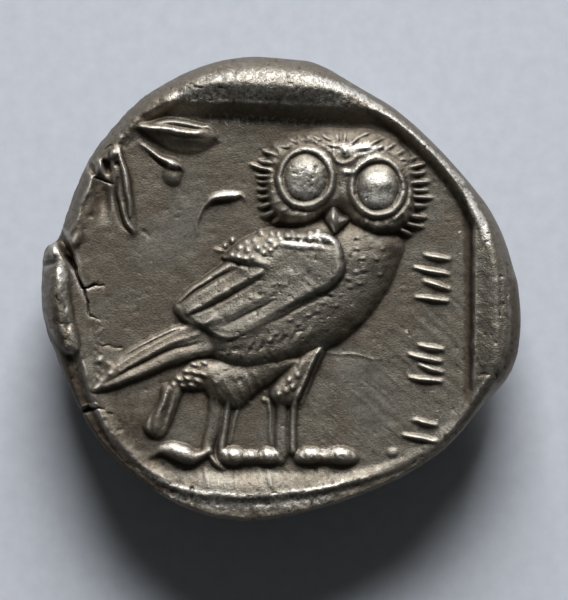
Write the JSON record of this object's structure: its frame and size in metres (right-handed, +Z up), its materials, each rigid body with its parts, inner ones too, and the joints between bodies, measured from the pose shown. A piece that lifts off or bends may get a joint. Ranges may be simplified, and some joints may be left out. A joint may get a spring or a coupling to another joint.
{
  "type": "ancient tetradrachm coin",
  "caption": "Thick struck silver coin lying owl side up, with a large-eyed owl, olive sprig and crescent in a sunk square punch mark.",
  "frame": {"origin": "middle of the coin's footprint, on the surface it lies on", "axes": "+Z up through the coin's thickness, out of the owl side; +Y towards the top of the owl's head; +X to the right of the owl as it is seen"},
  "size_m": [0.0246, 0.0238, 0.0063],
  "materials": {
    "toned_silver": "struck silver, toned brown-grey in the low places and worn bright on the high ones"
  },
  "bodies": {
    "root": {"coin": "toned_silver"}
  },
  "joints": []
}
